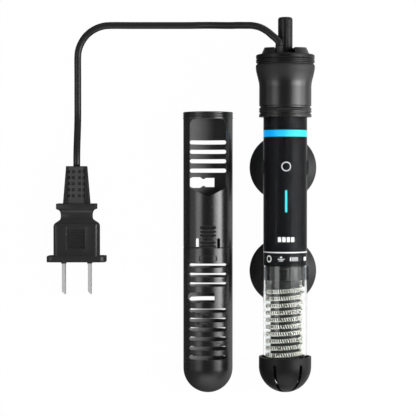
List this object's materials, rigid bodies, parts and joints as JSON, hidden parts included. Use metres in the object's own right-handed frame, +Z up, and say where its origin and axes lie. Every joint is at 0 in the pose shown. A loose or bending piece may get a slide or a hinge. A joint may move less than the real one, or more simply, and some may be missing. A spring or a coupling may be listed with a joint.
{
  "type": "submersible aquarium heater",
  "caption": "Glass aquarium heater with a wound element, fluted knob, suction cups on sliding clips, a slotted snap-together guard and a mains lead with a two-blade plug.",
  "frame": {"origin": "on the table, under the middle of the heater and the guard lying side by side; the mains lead and its plug are left out of that middle", "axes": "+Y along the heater from its end bumper to its knob, +Z up from the table, +X from the guard to the heater"},
  "size_m": [0.1321, 0.1816, 0.0371],
  "materials": {
    "clear_glass": "polished, clear",
    "label_black": "smooth black sleeve under the glass",
    "cyan_band": "glossy cyan",
    "cyan_guide": "glossy light guide",
    "board_green": "solder-masked laminate",
    "component_grey": "moulded components",
    "lamp_cream": "moulded lamp block",
    "tinned_metal": "tinned",
    "probe_amber": "epoxy bead",
    "wire_red": "insulated wire",
    "pot_blue": "moulded",
    "black_plastic": "satin black moulding",
    "guard_black": "satin black moulding",
    "black_rubber": "matt black",
    "collar_grey": "smooth dark grey",
    "ceramic_grey": "dark ceramic",
    "heating_wire": "bright wound wire",
    "cup_rubber": "soft black, slightly glossy",
    "blade_nickel": "nickel plated"
  },
  "bodies": {
    "heater": {"glass_tube": "clear_glass", "label_sleeve": "label_black", "accent_band": "cyan_band", "light_bar": "cyan_guide", "light_module": "lamp_cream", "control_board": "board_green", "board_parts": "component_grey", "thermal_fuse": "tinned_metal", "temperature_probe": "probe_amber", "supply_wires": "wire_red", "potentiometer": "pot_blue", "knob_seal": "black_rubber", "tube_stopper": "black_rubber", "tube_seals": "black_rubber", "head_shell": "black_plastic", "cap_gasket": "black_rubber", "cap_ring": "black_plastic", "cap_plate": "black_plastic", "cord_gland": "black_rubber", "element_collar": "collar_grey", "element_leads": "tinned_metal", "ceramic_core": "ceramic_grey", "heating_coil": "heating_wire", "bottom_pad": "black_rubber", "end_bumper": "black_plastic", "cord": "black_rubber", "plug_boot": "black_rubber", "plug_body": "black_plastic", "plug_blades": "blade_nickel"},
    "knob": {"temperature_knob": "black_plastic", "knob_spindle": "tinned_metal"},
    "upper_clip": {"upper_clip": "black_plastic"},
    "lower_clip": {"lower_clip": "black_plastic"},
    "upper_cup": {"upper_cup": "cup_rubber"},
    "lower_cup": {"lower_cup": "cup_rubber"},
    "guard_upper": {"guard_upper": "guard_black"},
    "guard_lower": {"guard_lower": "guard_black"},
    "guard_latch": {"guard_latch": "guard_black"}
  },
  "joints": [
    {"name": "knob_turn", "type": "hinge", "parent": "heater", "child": "knob", "pos_m": [0.01645, 0.083, 0.0205], "axis": [0, 1, 0], "range_deg": [-135, 135]},
    {"name": "upper_clip_slide", "type": "slide", "parent": "heater", "child": "upper_clip", "axis": [0, 1, 0], "range_m": [-0.008, 0.02]},
    {"name": "lower_clip_slide", "type": "slide", "parent": "heater", "child": "lower_clip", "axis": [0, 1, 0], "range_m": [-0.036, 0.008]},
    {"name": "upper_cup_swivel", "type": "hinge", "parent": "upper_clip", "child": "upper_cup", "pos_m": [0.01635, 0.01878, 0.007], "axis": [0, 0, 1], "continuous": true},
    {"name": "lower_cup_swivel", "type": "hinge", "parent": "lower_clip", "child": "lower_cup", "pos_m": [0.01635, -0.03222, 0.007], "axis": [0, 0, 1], "continuous": true},
    {"name": "guard_lift", "type": "slide", "parent": "heater", "child": "guard_upper", "axis": [0, 0, 1], "range_m": [0, 0.06]},
    {"name": "guard_pull", "type": "slide", "parent": "guard_upper", "child": "guard_lower", "axis": [0, -1, 0], "range_m": [0, 0.04]},
    {"name": "latch_press", "type": "hinge", "parent": "guard_upper", "child": "guard_latch", "pos_m": [-0.0207, -0.01588, 0.0236], "axis": [1, 0, 0], "range_deg": [0, 4], "stiffness_Nm_per_rad": 0.1}
  ]
}
